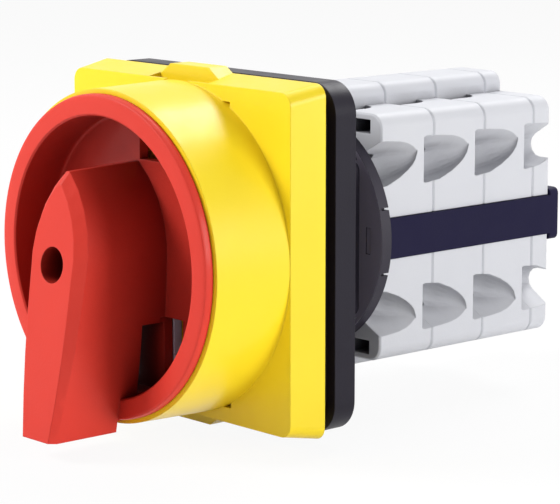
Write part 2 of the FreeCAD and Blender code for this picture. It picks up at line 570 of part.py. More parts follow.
# Padlock slide: a grey plate behind the bowl's floor, with two holes for the shackles and
# a tongue that drops between the shroud's posts and blocks the handle
SLIDE_Y = ("-slide_rear - slide_thick", "-slide_rear")
slide_plate = fuse("slide_plate", [
    box("slide_wide", ("-slide_half", "slide_half"), SLIDE_Y,
        ("-slide_low", "-hub_radius - slack * 4")),
    box("slide_tongue_part", ("-slide_tongue", "slide_tongue"), SLIDE_Y,
        ("-slide_tip", "-slide_low + 1")),
])
node("lock_slide", cut("lock_slide", slide_plate, [
    box("slide_hole_" + side, ("window_in + slack", "slide_half - 1") if sx > 0
        else ("-slide_half + 1", "-window_in - slack"),
        ("-slide_rear - slide_thick - 1", "-slide_rear + 1"), ("-slide_low + 1.4", "-hub_radius - 2"))
    for side, sx in SIDES]))

# Spindle: a square bar from the handle to the last cam, tapped for the handle screw
SPINDLE_HALF = "(spindle_side / 2)"
STACK_FRONT = "(neck_long + flange_thick)"
STACK_REAR = "(neck_long + flange_thick + 3 * stage_pitch + end_thick)"
spindle_bar = box("spindle_bar", ("-" + SPINDLE_HALF, SPINDLE_HALF),
                  (SPINDLE_FRONT, STACK_REAR + " - 0.6"), ("-" + SPINDLE_HALF, SPINDLE_HALF))
node("spindle", cut("spindle", spindle_bar, [
    rod_y("spindle_tap", "handle_shank + fit_gap", SPINDLE_FRONT + " - 1",
          SPINDLE_FRONT + " + screw_bite")]))

# Latch housing: the neck that passes the panel, with a bearing in its front wall, a room
# for the index wheel, two roller channels, and a round flange with small rim notches, an
# opening at each corner of the neck and a slot for each clamping bar
neck = outline_body("neck", [("%d * neck_half_x" % sx, "%d * neck_half_z" % sz,
                              sx * size("neck_half_x"), sz * size("neck_half_z"))
                             for sx, sz in ((-1, -1), (1, -1), (1, 1), (-1, 1))],
                    "-seat_deep", "seat_deep + neck_long + 0.5")
round_long(neck, "neck_corners", "neck_round", lambda x, z: True)
flange = rod_y("flange", "flange_radius", "neck_long", STACK_FRONT)
latch_cuts = [
    rod_y("latch_bearing", "index_journal + run_gap", "-seat_deep - 1", "neck_wall + 1"),
    rod_y("index_room", "index_lobe + 0.7", "neck_wall", STACK_FRONT + " + 1"),
]
for end, sz in ENDS:
    low, high = ("0", "index_roof") if sz > 0 else ("-index_roof", "0")
    latch_cuts.append(box("roller_channel_" + end, ("-roller_radius - slack", "roller_radius + slack"),
                          ("neck_wall + 1", "neck_wall + 1 + roller_long + 2 * slack"), (low, high)))
for side, sx in SIDES:
    edge = "%d * flange_radius * 0.963" % sx
    for end, sz in ENDS:
        latch_cuts.append(box("rim_notch_%s_%s" % (side, end), (edge + " - 1.2", edge + " + 1.2"),
                              ("neck_long + 0.6", STACK_FRONT + " + 1"),
                              ("%d * rim_notch - 0.25" % sz, "%d * rim_notch + 0.25" % sz)))
        corner_x = ("neck_half_x - 5", "neck_half_x + 1")
        corner_z = ("neck_half_z + 0.3", "flange_radius")
        corner = box("corner_block_%s_%s" % (side, end),
                     corner_x if sx > 0 else ("-neck_half_x - 1", "-neck_half_x + 5"),
                     ("neck_long - 1", STACK_FRONT + " + 1"),
                     corner_z if sz > 0 else ("-flange_radius", "-neck_half_z - 0.3"))
        corner_opening = doc.addObject("Part::Common", "corner_opening_%s_%s" % (side, end))
        corner_opening.Base = corner
        corner_opening.Tool = rod_y("corner_disc_%s_%s" % (side, end), "flange_radius - rim_wall",
                                    "neck_long - 2", STACK_FRONT + " + 2")
        latch_cuts.append(corner_opening)
    tongue_x = ("bar_low", "bar_low + tongue_thick + 2 * slack")
    latch_cuts.append(box("tongue_slot_" + side,
                          tongue_x if sx > 0 else ("-bar_low - tongue_thick - 2 * slack", "-bar_low"),
                          ("neck_long - 1", STACK_FRONT + " + 1"),
                          ("-tongue_half - slack", "tongue_half + slack")))
for n, (sx, sz) in enumerate(CORNERS):
    latch_cuts.append(rod_y("latch_tap%d" % n, "latch_shank + fit_gap", "-seat_deep - 1",
                            "latch_reach + 0.5", "%d * %s" % (sx, LATCH_X), "%d * %s" % (sz, LATCH_Z)))
node("latch_housing", cut("latch_housing", fuse("latch_solid", [neck, flange]), latch_cuts))

# Latch screws: four pan heads on the frame's front, their shanks in the neck's corners
screws = []
for n, (sx, sz) in enumerate(CORNERS):
    x, z = "%d * %s" % (sx, LATCH_X), "%d * %s" % (sz, LATCH_Z)
    head = rod_y("latch_screw_head%d" % n, "latch_head", "-plate_thick - latch_head_high",
                 "-plate_thick", x, z)
    shank = rod_y("latch_screw_shank%d" % n, "latch_shank", "-plate_thick - 0.5", "latch_reach", x, z)
    screws.append(fuse("latch_screw%d" % n, [head, shank]))
latch_screws = doc.addObject("Part::Compound", "latch_screws")
latch_screws.Links = screws
node("latch_screws", latch_screws)


def square_hole(name, y0, y1):
    return box(name, ("-" + SOCKET_HALF, SOCKET_HALF), (y0, y1), ("-" + SOCKET_HALF, SOCKET_HALF))


def polar(radius, angle, y=0.0):
    """A point at an angle from +Z towards +X, in radians."""
    return V(radius * math.sin(angle), y, radius * math.cos(angle))


# Index wheel: four lobes with round notches between them, a square hole and a journal
wheel_disc = rod_y("wheel_disc", "index_lobe", "neck_wall + 1", "neck_wall + 1 + roller_long")
notches = []
for n in range(4):
    x, z = ((0, 1), (1, 0), (0, -1), (-1, 0))[n]
    seat = "(index_lobe - index_dip + roller_radius + slack)"
    notches.append(rod_y("wheel_notch%d" % n, "roller_radius + slack", "neck_wall",
                         "neck_wall + roller_long + 2", "%d * %s" % (x, seat),
                         "%d * %s" % (z, seat)))
wheel_journal = rod_y("wheel_journal", "index_journal", "slack", "neck_wall + 1.5")
wheel_cut = cut("wheel_cut", wheel_disc, notches)
node("index_wheel", cut("index_wheel", fuse("wheel_solid", [wheel_cut, wheel_journal]),
                        [square_hole("wheel_square", "-1", "neck_wall + roller_long + 3")]))

# Index rollers and their springs, above and below the wheel. A roller is drawn where a lobe
# holds it, which is its outermost place, and from there it drops into a notch
ROLLER_Z = "(index_lobe + roller_gap + roller_radius)"


def coil(name, radius, wire, turns, centre, low, high):
    """A spring along Z between two heights, its wire in short straight runs with mitred ends."""
    runs = 8 * turns
    rise = high - low - 2 * wire
    line = [V(centre[0] + radius * math.cos(math.pi / 4 * k), centre[1] + radius * math.sin(math.pi / 4 * k),
              low + wire + rise * k / runs) for k in range(runs + 1)]
    ways = [(b - a).normalize() for a, b in zip(line, line[1:])]
    out = V(1, 0, 0)
    up = ways[0].cross(out).normalize()
    ring = [line[0] + out * (wire * math.cos(math.pi / 3 * k)) + up * (wire * math.sin(math.pi / 3 * k))
            for k in range(6)]
    first = ring
    faces = []
    for k, way in enumerate(ways):
        across = (way + ways[k + 1]).normalize() if k + 1 < runs else way
        moved = [p + way * ((line[k + 1] - p).dot(across) / way.dot(across)) for p in ring]
        for m in range(6):
            a, b = m, (m + 1) % 6
            faces.append(Part.Face(Part.makePolygon([ring[a], ring[b], moved[b], moved[a], ring[a]])))
        ring = moved
    faces += [Part.Face(Part.makePolygon(end + end[:1])) for end in (first, ring)]
    shell = Part.Shell(faces)
    shell.sewShape()
    solid = Part.Solid(shell)
    if solid.Volume < 0:
        solid.reverse()
    return shaped(name, solid)


for end, sz in ENDS:
    roller = rod_y("index_roller_" + end, "roller_radius", "neck_wall + 1 + slack",
                   "neck_wall + 1 - slack + roller_long", "0", "%d * %s" % (sz, ROLLER_Z))
    node("index_roller_" + end, roller)
    near = size("index_lobe") + size("roller_gap") + 2 * size("roller_radius") + size("slack")
    far = size("index_roof") - size("slack")
    low, high = (near, far) if sz > 0 else (-far, -near)
    middle = size("neck_wall") + 1 + size("roller_long") / 2
    node("index_spring_" + end, coil("index_spring_" + end, size("latch_spring"), size("latch_wire"), 2,
                                      (0, middle), low, high))


SCOOP_SECTIONS = ((0.0, 0.98, 0.015, 0.05, 0.31), (0.06, 0.98, 0.0, 0.01, 0.31),
                  (0.36, 0.82, 0.04, 0.02, 0.29), (0.63, 0.56, 0.175, 0.04, 0.25),
                  (0.8, 0.34, 0.3, 0.065, 0.19), (0.9, 0.2, 0.4, 0.11, 0.14),
                  (0.965, 0.1, 0.5, 0.17, 0.08), (1.0, 0.02, 0.62, 0.28, 0.035))


def scoop_shape(sx, sz, start):
    """One wire scoop: deep at its flat front wall, round at its bottom, closing to the rear.

    A section's row: its place, its depth, how far its two edges move in, and its radius."""
    low = size("scoop_low")
    wide = size("scoop_high") - low
    side = size("tower_half_x")
    beyond = side + 1.5
    wires = []
    for place, depth, rise, fall, bend in SCOOP_SECTIONS:
        y = start + place * size("scoop_long")
        inner, radius = low + rise * wide, bend * wide
        lip = low + (1 - fall) * wide + 0.3
        cx, cz = side - depth * size("scoop_deep") + radius, inner + radius
        reach, lift = beyond - cx, lip - cz
        touch = math.atan2(lift, reach) - math.asin(radius / math.hypot(reach, lift)) + math.pi / 2
        first = math.pi * 1.5
        arc = [first + (touch - first) * k / 5 for k in range(6)]
        points = [(beyond, inner)] + [(cx + radius * math.cos(a), cz + radius * math.sin(a)) for a in arc]
        points = [V(sx * x, y, sz * z) for x, z in points + [(beyond, lip)]]
        wires.append(Part.makePolygon(points + points[:1]))
    return Part.makeLoft(wires, True, True)


HUMP_OUTLINE = [("-tower_half_x", "-tower_half_z"), ("-hump_half", "-tower_half_z"),
                ("-hump_half", "-hump_top"), ("hump_half", "-hump_top"),
                ("hump_half", "-tower_half_z"), ("tower_half_x", "-tower_half_z"),
                ("tower_half_x", "tower_half_z"), ("hump_half", "tower_half_z"),
                ("hump_half", "hump_top"), ("-hump_half", "hump_top"),
                ("-hump_half", "tower_half_z"), ("-tower_half_x", "tower_half_z")]


STACK_POINTS = [(x, z, signed(x), signed(z)) for x, z in HUMP_OUTLINE]


def stack_block(name, start, length):
    """A slice of the stack's outline with rounded long edges."""
    body = outline_body(name, STACK_POINTS, start, length)
    tower_x, hump_z = size("tower_half_x") - 1e-3, size("hump_top") - 1e-3
    round_long(body, name + "_towers", "tower_round", lambda x, z: abs(x) > tower_x)
    round_long(body, name + "_humps", "hump_round", lambda x, z: abs(z) > hump_z)
    base = body.Tip
    bevel = body.newObject("PartDesign::Chamfer", name + "_seams")
    faces = [n for n, face in enumerate(base.Shape.Faces, start=1)
             if abs(face.normalAt(0, 0).y) > 0.99]
    bevel.Base = (base, ["Face%d" % n for n in faces])
    bind(bevel, "Size", "seam_bevel")
    body.Tip = bevel
    doc.recompute()
    return body


# Stage housings: three like mouldings with a cam room, a contact chamber and a spring room
# above and below it, wire scoops on both sides and screw wells beside the humps
SCOOPS = [(sx, sz) for sx in (1, -1) for sz in (1, -1)]
stack_front_y = size("neck_long") + size("flange_thick")
for n in range(3):
    name = "stage%d_" % (n + 1)
    start = "(neck_long + flange_thick + %d * stage_pitch)" % n
    start_y = stack_front_y + n * size("stage_pitch")
    block = stack_block(name + "block", start, "stage_pitch")
    cuts = [
        rod_y(name + "cam_room", "cam_room", start + " - 1", start + " + stage_pitch - partition"),
        rod_y(name + "bearing", "cam_journal + run_gap", start, start + " + stage_pitch + 1"),
    ]
    for end, sz in ENDS:
        def up(text):
            return "%d * (%s)" % (sz, text)

        def span(low, high):
            return (up(low), up(high)) if sz > 0 else (up(high), up(low))
        cuts += [
            box(name + "guide_" + end, ("-plunger_half - slack", "plunger_half + slack"),
                (start + " - 1", start + " + plunger_start + plunger_deep + slack"),
                span("0", "ledge + 1")),
            box(name + "chamber_" + end, ("-chamber_half", "chamber_half"),
                (start + " - 1", start + " + chamber_deep"), span("ledge", "chamber_top")),
            box(name + "spring_room_" + end, ("-plunger_half - slack * 6", "plunger_half + slack * 6"),
                (start + " + 1.3", start + " + plunger_start + plunger_deep + 1.2"),
                span("chamber_top - 1", "spring_room")),
        ]
        for side, sx in SIDES:
            well = "%s%s_%s" % (name, end, side)
            outward = ("hump_half", "tower_half_x") if sx > 0 else ("-tower_half_x", "-hump_half")
            disc = rod_z("well_disc_" + well, "well_radius", *span("chamber_top - 0.5",
                         "tower_half_z + 1"), x="%d * hump_half" % sx, y=start + " + screw_set")
            half = box("well_half_" + well, outward, (start, start + " + chamber_deep"),
                       span("chamber_top - 1", "tower_half_z + 2"))
            opening = doc.addObject("Part::Common", "well_" + well)
            opening.Base, opening.Tool = disc, half
            pocket_x = ("pocket_in", "pocket_out") if sx > 0 else ("-pocket_out", "-pocket_in")
            entry_x = ("entry_in", "entry_out") if sx > 0 else ("-entry_out", "-entry_in")
            lead_x = ("hump_half", "hump_half + well_radius")
            if sx < 0:
                lead_x = ("-hump_half - well_radius", "-hump_half")
            cuts += [opening,
                     box("well_lead_" + well, lead_x, (start + " - 1", start + " + screw_set"),
                         span("chamber_top - 0.5", "tower_half_z + 1")),
                     box("pocket_" + well, pocket_x, (start + " - 1", start + " + pocket_deep"),
                         span("pocket_low", "pocket_high")),
                     box("entry_" + well, entry_x, (start + " + 0.8", start + " + 3"),
                         span("ledge", "ledge + entry_high"))]
    for side, sx in SIDES:
        groove = ("bar_low", "tower_half_x + 1") if sx > 0 else ("-tower_half_x - 1", "-bar_low")
        cuts.append(box(name + "groove_" + side, groove, (start + " - 1", start + " + stage_pitch + 1"),
                        ("-bar_half - slack", "bar_half + slack")))
    scoops = []
    for m, (sx, sz) in enumerate(SCOOPS):
        for step in (0, 1):
            scoops.append(scoop_shape(sx, sz, start_y - size("scoop_lead") + step * size("stage_pitch")))
    cuts.append(shaped(name + "scoops", Part.makeCompound(scoops)))
    node("stage_housing_%d" % (n + 1), cut("stage_housing_%d" % (n + 1), block, cuts))

# End plate: closes the last stage and carries on its outline, with the scoops cut through
END_FRONT = "(neck_long + flange_thick + 3 * stage_pitch)"
end_front_y = stack_front_y + 3 * size("stage_pitch")
end_block = stack_block("end_block", END_FRONT, "end_thick")
end_cuts = [rod_y("end_bearing", "spindle_side * 0.72 + fit_gap", END_FRONT + " - 1",
                  END_FRONT + " + end_thick + 1")]
for side, sx in SIDES:
    groove = ("bar_low", "tower_half_x + 1") if sx > 0 else ("-tower_half_x - 1", "-bar_low")
    end_cuts.append(box("end_groove_" + side, groove, (END_FRONT + " - 1", STACK_REAR + " + 1"),
                        ("-bar_half - slack", "bar_half + slack")))
end_cuts.append(shaped("end_scoops", Part.makeCompound(
    [scoop_shape(sx, sz, end_front_y - size("scoop_lead")) for sx, sz in SCOOPS])))
node("end_plate", cut("end_plate", end_block, end_cuts))

# Rear cap: a plain low cover over the spindle's end
cap = outline_body("cap_block", [("%d * cap_half_x" % sx, "%d * cap_half_z" % sz,
                                  sx * size("cap_half_x"), sz * size("cap_half_z"))
                                 for sx, sz in ((-1, -1), (1, -1), (1, 1), (-1, 1))],
                   STACK_REAR, "cap_thick")
round_long(cap, "cap_corners", "cap_round", lambda x, z: True)
node("rear_cap", cap)

# Clamping bars: dark strips in the side grooves, each with a thin tongue in the flange and a
# head behind the stack
for side, sx in SIDES:
    inner, outer = "bar_low + slack", "tower_half_x + bar_proud"
    xs = (inner, outer) if sx > 0 else ("-(%s)" % outer, "-(%s)" % inner)
    strip = box("bar_strip_" + side, xs, (STACK_FRONT + " + slack", STACK_REAR + " + 0.5"),
                ("-bar_half", "bar_half"))
    tongue_out = "bar_low + slack + tongue_thick"
    xs = (inner, tongue_out) if sx > 0 else ("-(%s)" % tongue_out, "-(%s)" % inner)
    tongue = box("bar_tongue_" + side, xs, ("neck_long + slack", STACK_FRONT + " + 1"),
                 ("-tongue_half", "tongue_half"))
    hook_in = "cap_half_x + slack"
    xs = (hook_in, outer) if sx > 0 else ("-(%s)" % outer, "-(%s)" % hook_in)
    head = box("bar_head_" + side, xs, (STACK_REAR, STACK_REAR + " + bar_head_thick"),
               ("-bar_head_half", "bar_head_half"))
    rounded = doc.addObject("Part::Fillet", "bar_head_round_" + side)
    rounded.Base = head
    doc.recompute()
    edge_x = size("tower_half_x") + size("bar_proud") - 1e-3
    picks = [k for k, edge in enumerate(head.Shape.Edges, start=1)
             if edge.BoundBox.YLength > 1 and abs(edge.CenterOfMass.x) > edge_x]
    rounded.Edges = [(k, size("bar_head_round"), size("bar_head_round")) for k in picks]
    node("clamp_bar_" + side, fuse("clamp_bar_" + side, [strip, tongue, rounded]))


def cam_shape(y0, y1):
    """A cam whose radius falls evenly over the quarter turn that closes its contacts."""
    high, travel = size("cam_high"), size("contact_travel")
    low = high - travel
    spare = math.radians(6)
    rate = travel / (math.pi / 2)
    edges = []
    for half in (0, math.pi):
        ramp = [polar(low + rate * angle, half + angle - math.pi / 2, y0)
                for angle in [(-spare) + k * (math.pi / 2 + 2 * spare) / 6 for k in range(7)]]
        curve = Part.BSplineCurve()
        curve.interpolate(ramp)
        edges.append(curve.toShape())
        first = polar(low - rate * spare, half + math.pi / 2 - spare, y0)
        middle = polar(low + travel * 0.42, half + math.pi / 4, y0)
        edges.append(Part.Arc(ramp[-1], middle, first).toShape())
    return Part.Face(Part.Wire(edges)).extrude(V(0, y1 - y0, 0))


# Cams, plungers, contact bridges, springs and fixed contacts of the three stages. At rest
# the cam's high side holds every contact open, and a quarter turn lets the plungers in
for n in range(3):
    stage = n + 1
    name = "s%d_" % stage
    start = "(neck_long + flange_thick + %d * stage_pitch)" % n
    start_y = stack_front_y + n * size("stage_pitch")
    lobes = shaped(name + "lobes", cam_shape(start_y + 0.5, start_y + size("stage_pitch")
                                             - size("partition") - 0.5))
    journal = rod_y(name + "journal", "cam_journal", start + " + 5",
                    start + " + stage_pitch - slack")
    node("cam_%d" % stage, cut("cam_%d" % stage, fuse(name + "cam_solid", [lobes, journal]),
                               [square_hole(name + "cam_square", start + " - 1",
                                            start + " + stage_pitch + 1")]))
    for end, sz in ENDS:
        def up(text):
            return "%d * (%s)" % (sz, text)

        def span(low, high):
            return (up(low), up(high)) if sz > 0 else (up(high), up(low))
        tag = "%d_%s" % (stage, end)
        front = start + " + plunger_start"
        rear = front + " + plunger_deep"
        foot = rod_y(name + "tip_" + end, "plunger_tip", front, rear, "0", up("cam_high + slack + plunger_tip"))
        stem = box(name + "stem_" + end, ("-plunger_tip", "plunger_tip"), (front, rear),
                   span("cam_high + slack + plunger_tip", "ledge - 2"))
        head = box(name + "head_" + end, ("-plunger_half", "plunger_half"), (front, rear),
                   span("ledge - 2.5", "plunger_top"))
        gate = box(name + "gate_" + end, ("-plunger_half - 1", "plunger_half + 1"),
                   (front + " + bridge_inset - slack", rear + " - bridge_inset + slack"),
                   span("bridge_low", "bridge_low + strip_thick + slack"))
        node("plunger_" + tag, cut("plunger_" + tag, fuse(name + "plunger_" + end,
                                                          [foot, stem, head]), [gate]))
        strip = box(name + "bridge_strip_" + end, ("-bridge_half", "bridge_half"),
                    (front + " + bridge_inset", rear + " - bridge_inset"),
                    span("bridge_low", "bridge_low + strip_thick"))
        node("contact_bridge_" + tag, strip)
        low, high = size("plunger_top"), size("spring_room") - 0.1
        if sz < 0:
            low, high = -high, -low
        middle = start_y + size("plunger_start") + size("plunger_deep") / 2
        node("contact_spring_" + tag, coil("contact_spring_" + tag, size("spring_radius"),
                                           size("spring_wire"), 3, (0, middle), low, high))
    contacts = []
    terminal_screws = []
    for end, sz in ENDS:
        def up(text):
            return "%d * (%s)" % (sz, text)

        def span(low, high):
            return (up(low), up(high)) if sz > 0 else (up(high), up(low))
        for side, sx in SIDES:
            tag = "%s_%s" % (end, side)
            xs = ("plunger_half + 0.7", "chamber_half - slack")
            xs = xs if sx > 0 else ("-(%s)" % xs[1], "-(%s)" % xs[0])
            strip = box(name + "fixed_strip_" + tag, xs,
                        (start + " + screw_set - strip_half", start + " + screw_set + strip_half"),
                        span("ledge", "ledge + strip_thick"))
            button = rod_z(name + "button_" + tag, "button_radius", *span("ledge + strip_thick - 0.3",
                           "ledge + strip_thick + button_high"),
                           x="%d * (plunger_half + 1.9)" % sx, y=start + " + screw_set")
            tap = rod_z(name + "terminal_tap_" + tag, "terminal_shank + fit_gap", *span("ledge - 1",
                        "ledge + strip_thick + 1"), x="%d * screw_place" % sx,
                        y=start + " + screw_set")
            contacts.append(cut(name + "fixed_" + tag, fuse(name + "fixed_solid_" + tag,
                                                            [strip, button]), [tap]))
            head = rod_z(name + "screw_head_" + tag, "terminal_wide", *span("terminal_head",
                         "terminal_head + terminal_wide"), x="%d * screw_place" % sx,
                         y=start + " + screw_set")
            shank = rod_z(name + "screw_shank_" + tag, "terminal_shank", *span("ledge + slack",
                          "terminal_head + 0.5"), x="%d * screw_place" % sx,
                          y=start + " + screw_set")
            clamp = box(name + "clamp_" + tag, ("%d * screw_place - terminal_wide" % sx,
                                                "%d * screw_place + terminal_wide" % sx),
                        (start + " + screw_set - terminal_wide", start + " + screw_set + terminal_wide"),
                        span("terminal_head - 0.8", "terminal_head + 0.2"))
            slot = box(name + "screw_slot_" + tag, ("%d * screw_place - 3" % sx,
                                                    "%d * screw_place + 3" % sx),
                       (start + " + screw_set - 0.35", start + " + screw_set + 0.35"),
                       span("terminal_head + terminal_wide * 0.6", "terminal_head + 3"))
            terminal_screws.append(cut(name + "screw_" + tag,
                                       fuse(name + "screw_solid_" + tag, [head, shank, clamp]),
                                       [slot]))
    for label, group in (("fixed_contacts_%d" % stage, contacts),
                         ("terminal_screws_%d" % stage, terminal_screws)):
        made = doc.addObject("Part::Compound", label)
        made.Links = group
        node(label, made)

doc.recompute()
bad = [thing.Name for thing in doc.Objects
       if any(word in thing.State for word in ("Invalid", "Error"))]
assert not bad, "failed objects: %s" % bad
for label, thing in NODES.items():
    assert not thing.Shape.isNull() and thing.Shape.isValid(), label
    assert thing.Shape.Solids, label
os.makedirs("parts", exist_ok=True)
for label, thing in NODES.items():
    thing.Shape.exportStep("parts/%s.step" % label)
print(len(NODES), "nodes written")
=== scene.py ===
# The looks of a padlockable cam switch: a red handle in a yellow shroud on a dark square
# frame, with a latch housing and a stack of light grey contact stages behind the panel.
# All its shapes are the solids' own, and this script gives them edges and materials.
import math
import bpy
from mathutils import Matrix, Vector


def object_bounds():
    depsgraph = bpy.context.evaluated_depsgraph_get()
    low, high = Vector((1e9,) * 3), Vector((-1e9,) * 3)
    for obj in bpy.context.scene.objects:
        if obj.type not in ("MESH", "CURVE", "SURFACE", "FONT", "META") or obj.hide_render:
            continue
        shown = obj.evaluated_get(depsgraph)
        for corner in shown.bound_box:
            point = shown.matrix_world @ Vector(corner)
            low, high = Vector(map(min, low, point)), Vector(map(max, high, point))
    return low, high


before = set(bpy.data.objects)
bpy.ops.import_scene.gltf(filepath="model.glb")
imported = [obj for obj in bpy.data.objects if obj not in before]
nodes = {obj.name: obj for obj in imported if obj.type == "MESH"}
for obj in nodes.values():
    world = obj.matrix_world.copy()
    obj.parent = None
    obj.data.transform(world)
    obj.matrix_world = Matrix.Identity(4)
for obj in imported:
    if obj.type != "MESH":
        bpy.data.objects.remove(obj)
cad_low, cad_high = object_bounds()

# Backing frame. A square plate of dark grey glass-filled polyamide, injection moulded, that
# lies on the cabinet door. Its edges are softly rounded and its face has a fine spark grain.
MM = 0.001
# The Mix node's sockets for colours: its two inputs and its output
FIRST, SECOND, MIXED = 6, 7, 2


def linear(code):
    """An sRGB hex colour as linear values."""
    parts = [int(code[i:i + 2], 16) / 255 for i in (1, 3, 5)]
    return tuple(p / 12.92 if p <= 0.04045 else ((p + 0.055) / 1.055) ** 2.4
                 for p in parts) + (1.0,)


def add_node(tree, kind, links=None, **settings):
    """Add a shader node, set its sockets and properties, and link its inputs."""
    made = tree.nodes.new(kind)
    for name, value in settings.items():
        if name in made.inputs:
            made.inputs[name].default_value = value
        else:
            setattr(made, name, value)
    for name, source in (links or {}).items():
        tree.links.new(source, made.inputs[name])
    return made


def moulded_plastic(name, code, shade_code, roughness, grain_mm=0.4, grain_depth=0.2,
                    specular=0.5, lacquer=0.0, painted_shade_code=None, painted_shade_mm=6.0,
                    painted_shade_open=0.75, edge_mm=0.3):
    """An injection-moulded plastic: a touch of flow shading 14 mm long, patches of 5 mm where
    the tool polished it, and a spark-eroded grain. A real grain is about 0.1 mm, so it is
    drawn three to five times coarser to show. Deep recesses take a painted shade, a darker
    colour that ambient occlusion mixes in. Edges look rounded by edge_mm."""
    material = bpy.data.materials.new(name)
    material.use_nodes = True
    tree = material.node_tree
    shader = tree.nodes["Principled BSDF"]
    place = add_node(tree, "ShaderNodeTexCoord").outputs["Object"]
    flow = add_node(tree, "ShaderNodeTexNoise", {"Vector": place},
                    Scale=1 / (14 * MM), Detail=2.0, Roughness=0.5)
    tint = add_node(tree, "ShaderNodeMix", {"Factor": flow.outputs["Fac"]}, data_type="RGBA")
    tint.inputs[FIRST].default_value = linear(code)
    tint.inputs[SECOND].default_value = linear(shade_code)
    colour = tint.outputs[MIXED]
    # Painted shade: ambient occlusion mixes a darker colour into recesses and hollows.
    if painted_shade_code:
        depth = add_node(tree, "ShaderNodeAmbientOcclusion", Distance=painted_shade_mm * MM,
                         samples=16, only_local=True)
        fade = add_node(tree, "ShaderNodeMapRange", {"Value": depth.outputs["AO"]},
                        **{"From Min": 0.08, "From Max": painted_shade_open})
        painted_shade = add_node(tree, "ShaderNodeMix",
                          {"Factor": fade.outputs["Result"], SECOND: colour},
                          data_type="RGBA")
        painted_shade.inputs[FIRST].default_value = linear(painted_shade_code)
        colour = painted_shade.outputs[MIXED]
    tree.links.new(colour, shader.inputs["Base Color"])
    polish = add_node(tree, "ShaderNodeTexNoise", {"Vector": place},
                      Scale=1 / (5 * MM), Detail=3.0, Roughness=0.6)
    gloss = add_node(tree, "ShaderNodeMapRange", {"Value": polish.outputs["Fac"]},
                     **{"From Min": 0.3, "From Max": 0.7,
                        "To Min": roughness - 0.05, "To Max": roughness + 0.05})
    tree.links.new(gloss.outputs["Result"], shader.inputs["Roughness"])
    grain = add_node(tree, "ShaderNodeTexNoise", {"Vector": place},
                     Scale=1 / (grain_mm * MM), Detail=2.0, Roughness=0.6)
    edge = add_node(tree, "ShaderNodeBevel", samples=6, Radius=edge_mm * MM)
    bump = add_node(tree, "ShaderNodeBump",
                    {"Height": grain.outputs["Fac"], "Normal": edge.outputs["Normal"]},
                    Strength=grain_depth, Distance=0.1 * MM)
    tree.links.new(bump.outputs["Normal"], shader.inputs["Normal"])
    shader.inputs["Specular IOR Level"].default_value = specular
    shader.inputs["Coat Weight"].default_value = lacquer
    shader.inputs["Coat Roughness"].default_value = 0.22
    return material


def dress(name, material, crease_degrees=28):
    """Give a CAD node its material, with smooth curves, crisp edges and flat faces."""
    piece = nodes[name]
    piece.data.materials.clear()
    piece.data.materials.append(material)
    for polygon in piece.data.polygons:
        polygon.use_smooth = True
    weld = piece.modifiers.new("weld", "WELD")
    weld.merge_threshold = 0.002 * MM
    split = piece.modifiers.new("crisp_edges", "EDGE_SPLIT")
    split.split_angle = math.radians(crease_degrees)
    flat = piece.modifiers.new("flat_faces", "WEIGHTED_NORMAL")
    flat.mode = "FACE_AREA"
    flat.weight = 50


frame_plastic = moulded_plastic("glass_filled_polyamide_dark", "#1B1724", "#181420",
                                roughness=0.42, grain_mm=0.35, grain_depth=0.25,
                                specular=0.2)
dress("backing_frame", frame_plastic)

# Gasket. A black rubber ring, pressed from nitrile, that seals the shroud to the frame. It is
# matt and takes almost no light in the narrow gap where it shows.
gasket_rubber = moulded_plastic("nitrile_rubber_black", "#0B090B", "#060506",
                                roughness=0.75, grain_mm=0.5, grain_depth=0.3)
dress("gasket", gasket_rubber)

# Front shroud. The yellow housing that carries the handle, moulded in ABS with a soft
# gloss. The second yellow is a little warmer, as the pigment is where the wall is thick.
shroud_abs = moulded_plastic("abs_signal_yellow", "#FFE42A", "#FDDE24",
                             roughness=0.4, grain_mm=0.5, grain_depth=0.12,
                             specular=0.25, lacquer=0.18)
dress("front_shroud", shroud_abs)

# Handle. One red moulding of ring, bowl, grip and hub, in satin polyamide with a fine
# grain that scatters the light on the grip's faces. A painted shade darkens the bowl to a
# dark red.
handle_polyamide = moulded_plastic("polyamide_signal_red", "#E34133", "#DD3A2D",
                                   roughness=0.5, grain_depth=0.3,
                                   specular=0.15, lacquer=0.18,
                                   painted_shade_code="#4E0503", painted_shade_mm=22.0, painted_shade_open=0.9)
dress("handle", handle_polyamide)


